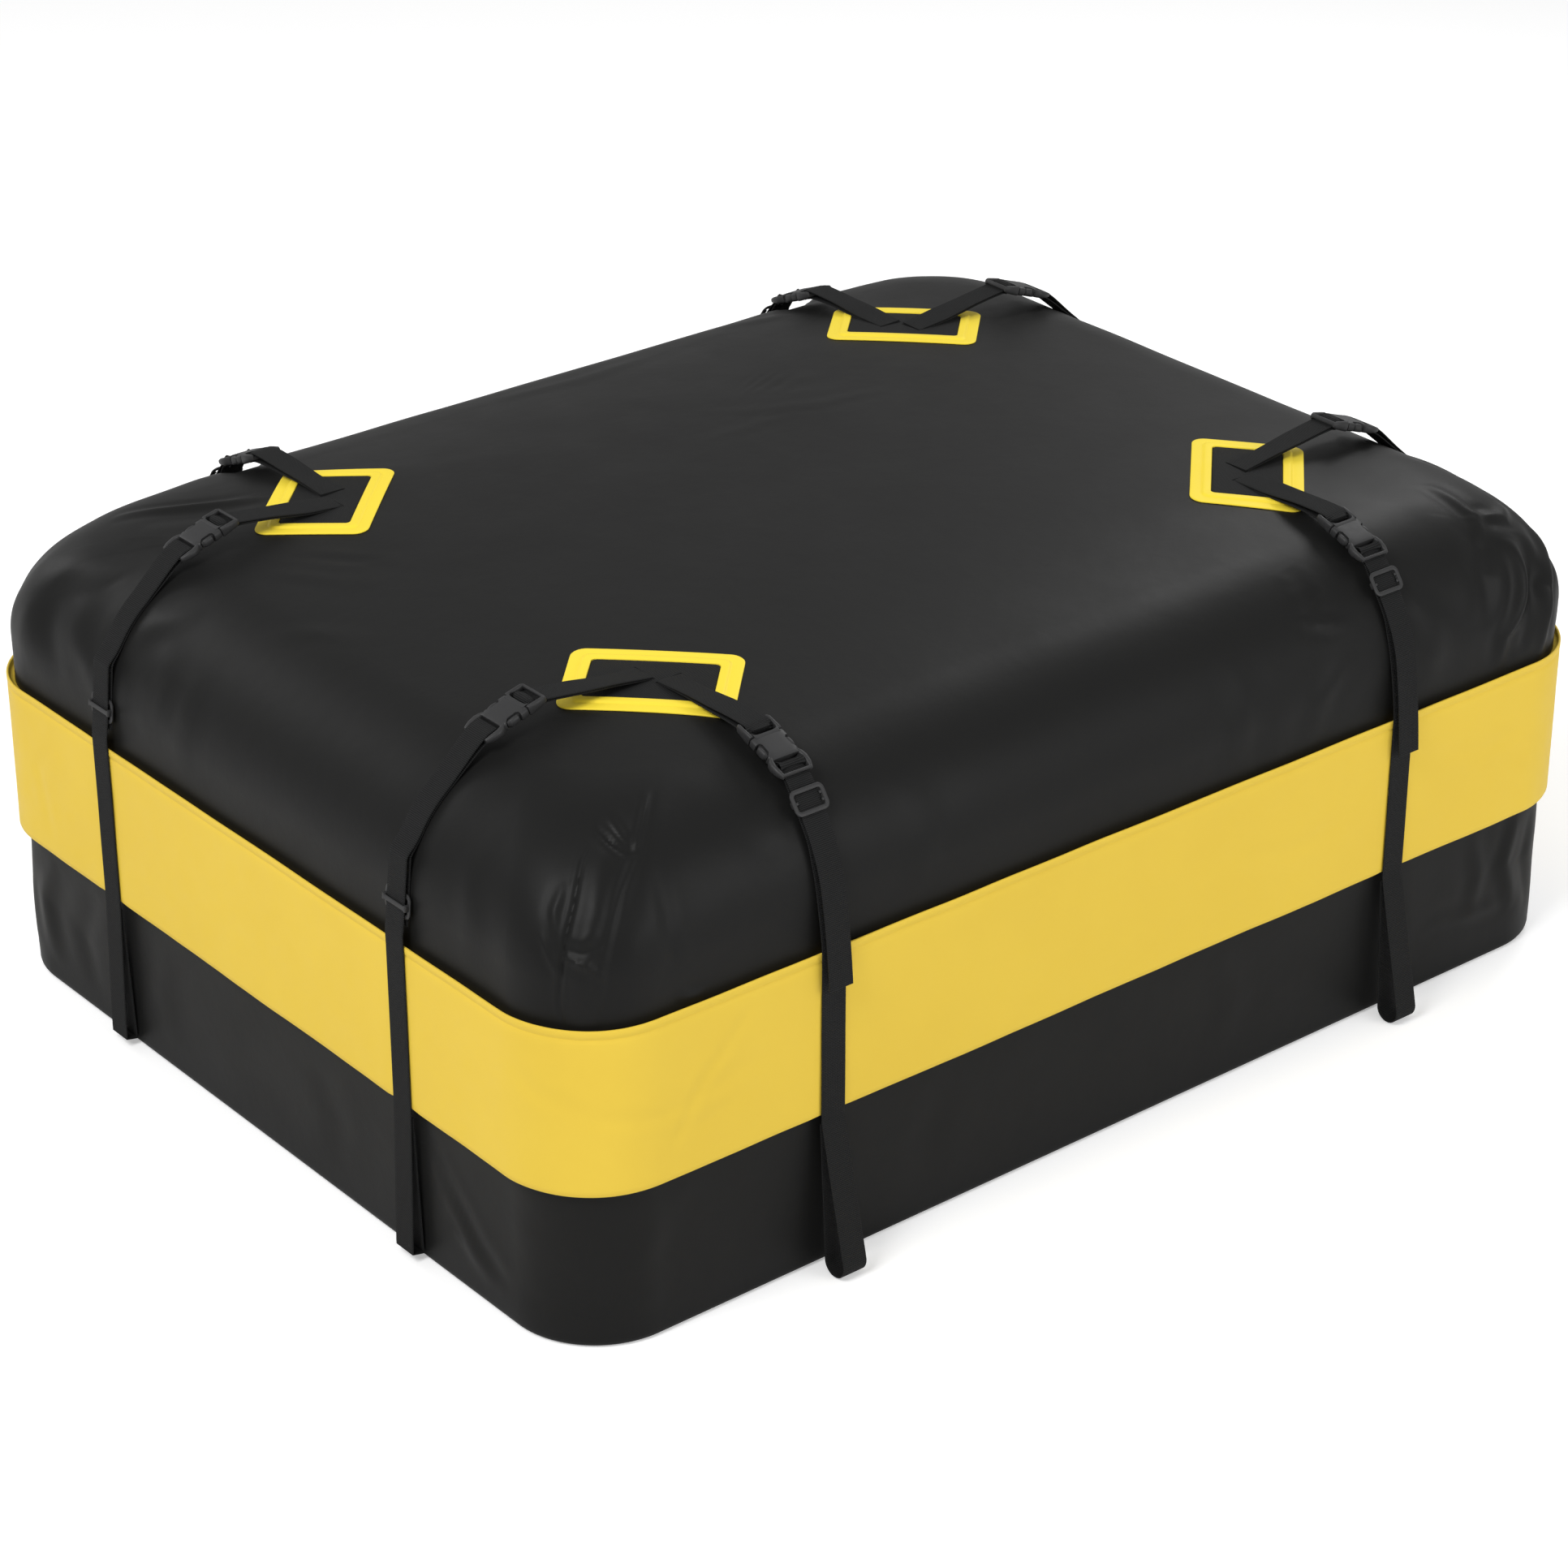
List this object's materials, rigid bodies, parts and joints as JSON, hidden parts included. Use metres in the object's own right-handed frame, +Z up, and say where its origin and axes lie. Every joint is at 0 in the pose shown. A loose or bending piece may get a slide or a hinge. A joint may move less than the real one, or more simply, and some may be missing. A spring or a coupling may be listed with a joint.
{
  "type": "rooftop cargo bag",
  "caption": "Soft zipped roof bag with a yellow flap over its zip, webbing tie-down straps, side-release buckles, adjusters and tie loops.",
  "frame": {"origin": "centre of the bag's footprint, on its underside", "axes": "+X along the bag's length, +Y across it towards the cloth hinge, +Z up"},
  "size_m": [1.1108, 0.904, 0.4476],
  "materials": {
    "coated_fabric": "matte black PVC-coated polyester",
    "yellow_vinyl": "satin yellow coated fabric, welded",
    "webbing": "black ribbed polyester webbing",
    "zip_tape": "black woven tape",
    "grey_plastic": "moulded dark grey acetal",
    "zip_metal": "black lacquered zinc"
  },
  "bodies": {
    "bag": {"bag_base": "coated_fabric", "bag_lid": "coated_fabric", "rear_hinge_strip": "coated_fabric", "zip_tape_lower": "zip_tape", "zip_tape_upper": "zip_tape", "zip_flap": "yellow_vinyl", "flap_hook_strip": "zip_tape", "corner_patch_front_left": "yellow_vinyl", "webbing_pad_front_left": "webbing", "corner_patch_front_right": "yellow_vinyl", "webbing_pad_front_right": "webbing", "corner_patch_rear_left": "yellow_vinyl", "webbing_pad_rear_left": "webbing", "corner_patch_rear_right": "yellow_vinyl", "webbing_pad_rear_right": "webbing", "upper_strap_front_left_end": "webbing", "buckle_plug_front_left_end": "grey_plastic", "upper_strap_front_left_side": "webbing", "buckle_plug_front_left_side": "grey_plastic", "upper_strap_front_right_end": "webbing", "buckle_plug_front_right_end": "grey_plastic", "upper_strap_front_right_side": "webbing", "buckle_plug_front_right_side": "grey_plastic", "upper_strap_rear_left_end": "webbing", "buckle_plug_rear_left_end": "grey_plastic", "upper_strap_rear_left_side": "webbing", "buckle_plug_rear_left_side": "grey_plastic", "upper_strap_rear_right_end": "webbing", "buckle_plug_rear_right_end": "grey_plastic", "upper_strap_rear_right_side": "webbing", "buckle_plug_rear_right_side": "grey_plastic"},
    "zip_slider_left": {"zip_slider_left": "zip_metal", "zip_pull_left": "zip_tape"},
    "zip_slider_right": {"zip_slider_right": "zip_metal", "zip_pull_right": "zip_tape"},
    "tie_front_left_end": {"buckle_socket_front_left_end": "grey_plastic", "lower_strap_front_left_end": "webbing"},
    "glide_front_left_end": {"tri_glide_front_left_end": "grey_plastic"},
    "tie_front_left_side": {"buckle_socket_front_left_side": "grey_plastic", "lower_strap_front_left_side": "webbing"},
    "glide_front_left_side": {"tri_glide_front_left_side": "grey_plastic"},
    "tie_front_right_end": {"buckle_socket_front_right_end": "grey_plastic", "lower_strap_front_right_end": "webbing"},
    "glide_front_right_end": {"tri_glide_front_right_end": "grey_plastic"},
    "tie_front_right_side": {"buckle_socket_front_right_side": "grey_plastic", "lower_strap_front_right_side": "webbing"},
    "glide_front_right_side": {"tri_glide_front_right_side": "grey_plastic"},
    "tie_rear_left_end": {"buckle_socket_rear_left_end": "grey_plastic", "lower_strap_rear_left_end": "webbing"},
    "glide_rear_left_end": {"tri_glide_rear_left_end": "grey_plastic"},
    "tie_rear_left_side": {"buckle_socket_rear_left_side": "grey_plastic", "lower_strap_rear_left_side": "webbing"},
    "glide_rear_left_side": {"tri_glide_rear_left_side": "grey_plastic"},
    "tie_rear_right_end": {"buckle_socket_rear_right_end": "grey_plastic", "lower_strap_rear_right_end": "webbing"},
    "glide_rear_right_end": {"tri_glide_rear_right_end": "grey_plastic"},
    "tie_rear_right_side": {"buckle_socket_rear_right_side": "grey_plastic", "lower_strap_rear_right_side": "webbing"},
    "glide_rear_right_side": {"tri_glide_rear_right_side": "grey_plastic"}
  },
  "joints": [
    {"name": "zip_travel_left", "type": "slide", "parent": "bag", "child": "zip_slider_left", "axis": [-1, 0, 0], "range_m": [0, 0.43]},
    {"name": "zip_travel_right", "type": "slide", "parent": "bag", "child": "zip_slider_right", "axis": [1, 0, 0], "range_m": [0, 0.43]},
    {"name": "unclip_front_left_end", "type": "slide", "parent": "bag", "child": "tie_front_left_end", "axis": [-0.9455, 0, -0.3256], "range_m": [0, 0.02]},
    {"name": "adjust_front_left_end", "type": "slide", "parent": "tie_front_left_end", "child": "glide_front_left_end", "axis": [-0.1005, 0, -0.9949], "range_m": [-0.0238, 0.0053]},
    {"name": "unclip_front_left_side", "type": "slide", "parent": "bag", "child": "tie_front_left_side", "axis": [0, -0.9304, -0.3665], "range_m": [0, 0.02]},
    {"name": "adjust_front_left_side", "type": "slide", "parent": "tie_front_left_side", "child": "glide_front_left_side", "axis": [0, -0.5855, -0.8107], "range_m": [-0.0013, 0.0149]},
    {"name": "unclip_front_right_end", "type": "slide", "parent": "bag", "child": "tie_front_right_end", "axis": [0.9455, 0, -0.3256], "range_m": [0, 0.02]},
    {"name": "adjust_front_right_end", "type": "slide", "parent": "tie_front_right_end", "child": "glide_front_right_end", "axis": [0.1005, 0, -0.9949], "range_m": [-0.0238, 0.0053]},
    {"name": "unclip_front_right_side", "type": "slide", "parent": "bag", "child": "tie_front_right_side", "axis": [0, -0.9304, -0.3665], "range_m": [0, 0.02]},
    {"name": "adjust_front_right_side", "type": "slide", "parent": "tie_front_right_side", "child": "glide_front_right_side", "axis": [0, -0.5855, -0.8107], "range_m": [-0.0013, 0.0149]},
    {"name": "unclip_rear_left_end", "type": "slide", "parent": "bag", "child": "tie_rear_left_end", "axis": [-0.9455, 0, -0.3256], "range_m": [0, 0.02]},
    {"name": "adjust_rear_left_end", "type": "slide", "parent": "tie_rear_left_end", "child": "glide_rear_left_end", "axis": [-0.1005, 0, -0.9949], "range_m": [-0.0238, 0.0053]},
    {"name": "unclip_rear_left_side", "type": "slide", "parent": "bag", "child": "tie_rear_left_side", "axis": [0, 0.9304, -0.3665], "range_m": [0, 0.02]},
    {"name": "adjust_rear_left_side", "type": "slide", "parent": "tie_rear_left_side", "child": "glide_rear_left_side", "axis": [0, 0.5855, -0.8107], "range_m": [-0.0013, 0.0149]},
    {"name": "unclip_rear_right_end", "type": "slide", "parent": "bag", "child": "tie_rear_right_end", "axis": [0.9455, 0, -0.3256], "range_m": [0, 0.02]},
    {"name": "adjust_rear_right_end", "type": "slide", "parent": "tie_rear_right_end", "child": "glide_rear_right_end", "axis": [0.1005, 0, -0.9949], "range_m": [-0.0238, 0.0053]},
    {"name": "unclip_rear_right_side", "type": "slide", "parent": "bag", "child": "tie_rear_right_side", "axis": [0, 0.9304, -0.3665], "range_m": [0, 0.02]},
    {"name": "adjust_rear_right_side", "type": "slide", "parent": "tie_rear_right_side", "child": "glide_rear_right_side", "axis": [0, 0.5855, -0.8107], "range_m": [-0.0013, 0.0149]}
  ]
}
